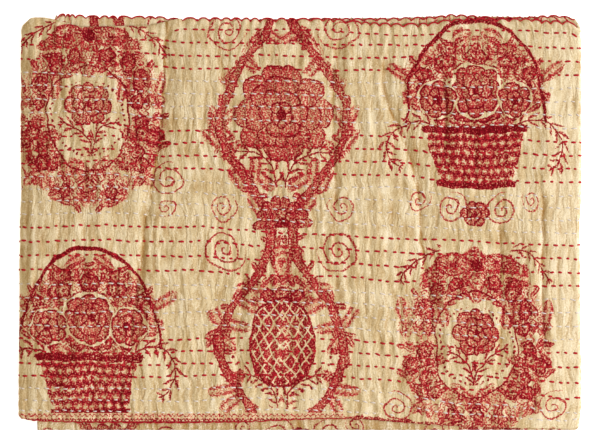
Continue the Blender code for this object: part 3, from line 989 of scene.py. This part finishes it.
def spun_cotton(name, colour):
    """Soft twisted thread, with painted shade between its plies, and fibres that take the dye unevenly."""
    cotton = bpy.data.materials.new(name)
    cotton.use_nodes = True
    thread_shader = cotton.node_tree.nodes["Principled BSDF"]
    flat = Dye(cotton.node_tree, None).make("ShaderNodeUVMap", {"uv_map": "thread_flat"}, {})
    along, around = flat.parts()
    ply = (along * (2000.0 * math.pi / PLY_TWIST) + around * (2 * math.pi * PLIES)).maths("SINE")
    fibres = noise(flat.vector("MULTIPLY", (1400.0, 5.0, 0.0)), 1.0, 3.0)
    worn = noise(flat.vector("MULTIPLY", (90.0, 0.0, 0.0)), 1.0)
    # Painted shade between the plies, mixed with the fibres' uneven dye and the wear along the thread.
    light = (ply * 0.22 + fibres * 1.1 + worn * 0.5 - 0.30).maths("MULTIPLY", 1.0, clamp=True)
    low = (*(part * 0.62 for part in colour), 1.0)
    high = (*(min(part * 1.30 + 0.01, 1.0) for part in colour), 1.0)
    cotton.node_tree.links.new(blend(low, high, light).socket, thread_shader.inputs["Base Color"])
    cotton.node_tree.links.new((fibres * 0.3 + 0.62).socket, thread_shader.inputs["Roughness"])
    twist = ply * 0.5 + fibres * 0.8
    strand = twist.make("ShaderNodeBump", {}, {"Strength": 0.7, "Distance": 0.0002, "Height": twist})
    cotton.node_tree.links.new(strand.socket, thread_shader.inputs["Normal"])
    thread_shader.inputs["Specular IOR Level"].default_value = 0.15
    return cotton


def thread_piece(name, points, tube_faces, flats, colour):
    mesh = bpy.data.meshes.new(name)
    points[:, 2] = np.maximum(points[:, 2], PRESSED_FLAT)
    mesh.from_pydata(points.tolist(), [], tube_faces)
    mesh.uv_layers.new(name="thread_flat").data.foreach_set("uv", np.array(flats).ravel())
    mesh.polygons.foreach_set("use_smooth", np.ones(len(tube_faces), bool))
    mesh.update()
    piece = bpy.data.objects.new(name, mesh)
    bpy.context.collection.objects.link(piece)
    mesh.materials.append(spun_cotton(name, colour))
    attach(piece, "root")
    return piece


white_rows = [row for row in range(1, ROW_COUNT + 1) if row not in RED_ROWS]
red_stitches = sew_rows("red_running_stitch", RED_ROWS, 5, RED_HALF_WIDTH, RED_THREAD)
white_stitches = sew_rows("white_running_stitch", white_rows, 6, WHITE_HALF_WIDTH, WHITE_THREAD)

# The hems are turned in and overcast by hand with the red thread. On the two top layers it runs along the
# edge from notch to notch and draws the hem into scallops. On the others each stitch crosses the rim.
HEM_THREAD = (0.48, 0.007, 0.018)
WHIP_RADIUS = 0.00090
WHIP_LOW_RADIUS = 0.00065
CROSSING_RADIUS = 0.00055
CROSSING_SLANT = (0.0008, 0.0022)
CROSSING_DEPTH = 0.0018
CROSSING_CLEAR = 0.0004


def layer_columns(index):
    return np.nonzero((layer_from == index) & (layer_to == index))[0]


def thread_along(index, station, direction):
    """The thread along one hem of a top layer. direction is 1 at the top hem and -1 at the bottom."""
    columns = layer_columns(index)
    if index == 0 and direction > 0:
        columns = columns[section_x[columns] > ROLL_END + 0.004]
    if index == 0 and direction < 0:
        columns = columns[section_x[columns] < BAND_END]
    draw = scallop(index if direction > 0 else index + 20, section_x[columns])
    centre = (face_out[columns, station] + face_in[columns, station]) / 2
    centre[:, 1] += direction * (0.0003 - 0.0011 * draw)
    upper = np.maximum(face_out[columns, station, 2], face_in[columns, station, 2])
    centre[:, 2] = upper + 0.0001 + 0.0004 * draw
    lean = np.stack([np.zeros(len(columns)), 0.6 * direction * (1 - draw), np.ones(len(columns))], axis=1)
    lean /= np.linalg.norm(lean, axis=1)[:, None]
    to_end = np.minimum(np.arange(len(columns)), np.arange(len(columns))[::-1])
    thick = (WHIP_RADIUS if direction > 0 else WHIP_LOW_RADIUS) * np.minimum(1.0, 0.3 + 0.5 * to_end)
    thick *= 1.0 + 0.22 * soft_noise(section_x[columns] / 0.006, 0.5, 80 + index)
    return stitch_tubes(centre[None], lean[None], thick, thick, 5)


def thread_across(index, station, direction):
    """The stitches over one hem of a lower layer, each from one face of the cloth to the other."""
    rng = np.random.default_rng(200 + 2 * index + direction)
    columns = layer_columns(index)
    columns = columns[np.argsort(section_x[columns])]
    run = section_x[columns]
    at = np.arange(run[0] + 0.002, run[-1] - 0.002, WHIP_PITCH / 2)
    at += rng.uniform(-0.0012, 0.0012, len(at))
    columns = np.interp(at, run, columns)
    rim = (read_grid(face_out, columns, station) + read_grid(face_in, columns, station)) / 2
    turn = np.linspace(-0.5, 0.5, 5) * math.pi
    centres = np.repeat(rim[:, None, :], len(turn), axis=1)
    centres[:, :, 0] += np.sin(turn) * rng.uniform(*CROSSING_SLANT, (len(at), 1))
    reach = (CROSSING_DEPTH + CROSSING_CLEAR) * np.cos(turn) - CROSSING_DEPTH
    centres[:, :, 1] += direction * reach
    centres[:, :, 2] += np.sin(turn) * CLOTH_THICK * 0.44
    lean = np.stack([0.0 * turn, direction * np.cos(turn), np.sin(turn)], axis=1)
    thick = CROSSING_RADIUS * np.array([0.6, 0.9, 1.0, 0.9, 0.6])
    return stitch_tubes(centres, np.repeat(lean[None], len(at), axis=0), thick, thick, 5)


whip_points = []
whip_faces = []
whip_flats = []
whip_count = 0
for index in range(LAYER_COUNT):
    for station, direction in ((station_count - 1, 1), (0, -1)):
        if index == 1 and direction < 0:
            # The second layer's bottom hem, below the front, has no thread that shows.
            continue
        over_hem = thread_along if index < 2 else thread_across
        points, tube_faces, flats = over_hem(index, station, direction)
        whip_points.append(points)
        whip_faces += [tuple(corner + whip_count for corner in face) for face in tube_faces]
        whip_flats += flats
        whip_count += len(points)
hem_whip = thread_piece("red_hem_stitch", np.concatenate(whip_points), whip_faces, whip_flats, HEM_THREAD)

# The studio: a plain pale floor, a camera straight above, soft light from the right, and a warm fill that
# comes from all round. A fainter lamp near the lower right makes that side of the throw a little lighter.
FLOOR_SIDE = 12.0
FLOOR_HEIGHT = -0.0003
FLOOR_GLOW = 0.78
floor_mesh = bpy.data.meshes.new("floor")
outline = ((-0.5, -0.5), (0.5, -0.5), (0.5, 0.5), (-0.5, 0.5))
floor_corners = [(FLOOR_SIDE * x, FLOOR_SIDE * y, FLOOR_HEIGHT) for x, y in outline]
floor_mesh.from_pydata(floor_corners, [], [(0, 1, 2, 3)])
floor = bpy.data.objects.new("floor", floor_mesh)
bpy.context.collection.objects.link(floor)
floor_paint = bpy.data.materials.new("floor")
floor_paint.use_nodes = True
floor_sockets = floor_paint.node_tree.nodes["Principled BSDF"].inputs
floor_sockets["Base Color"].default_value = (0.9, 0.9, 0.9, 1.0)
floor_sockets["Roughness"].default_value = 0.8
floor_sockets["Emission Color"].default_value = (1.0, 1.0, 1.0, 1.0)
floor_sockets["Emission Strength"].default_value = FLOOR_GLOW
floor_mesh.materials.append(floor_paint)

PHOTO_WIDTH = 600
METRES_PER_PIXEL = 0.001056
FRONT_HEIGHT = 0.028
SENSOR_WIDTH = 36.0
CAMERA_PLACE = (0.0007, 0.0005, 2.6)
view = bpy.data.cameras.new("camera")
view.lens = SENSOR_WIDTH * (CAMERA_PLACE[2] - FRONT_HEIGHT) / (PHOTO_WIDTH * METRES_PER_PIXEL)
view.sensor_width = SENSOR_WIDTH
camera = bpy.data.objects.new("camera", view)
camera.location = CAMERA_PLACE
bpy.context.collection.objects.link(camera)
bpy.context.scene.camera = camera
bpy.context.scene.view_settings.view_transform = "Standard"

LAMPS = (
    # name, place, turn in degrees, side, power in watts, colour
    ("key", (8.6, 0.6, 6.0), (-3.3, 55.0, 0.0), 4.4, 1110, (0.77, 0.855, 1.0)),
    ("overhead", (0.35, -0.75, 1.5), (0.0, 0.0, 0.0), 1.4, 8, (1.0, 1.0, 1.0)),
)
FILL_COLOUR = (1.0, 0.78, 0.42, 1.0)
FILL_STRENGTH = 0.42
for name, lamp_place, turn, lamp_side, power, lamp_colour in LAMPS:
    lamp = bpy.data.lights.new(name, "AREA")
    lamp.shape = "SQUARE"
    lamp.size = lamp_side
    lamp.energy = power
    lamp.color = lamp_colour
    lamp_object = bpy.data.objects.new(name, lamp)
    lamp_object.location = lamp_place
    lamp_object.rotation_euler = [math.radians(part) for part in turn]
    bpy.context.collection.objects.link(lamp_object)
world = bpy.data.worlds.new("studio")
world.use_nodes = True
world.node_tree.nodes["Background"].inputs["Color"].default_value = FILL_COLOUR
world.node_tree.nodes["Background"].inputs["Strength"].default_value = FILL_STRENGTH
bpy.context.scene.world = world
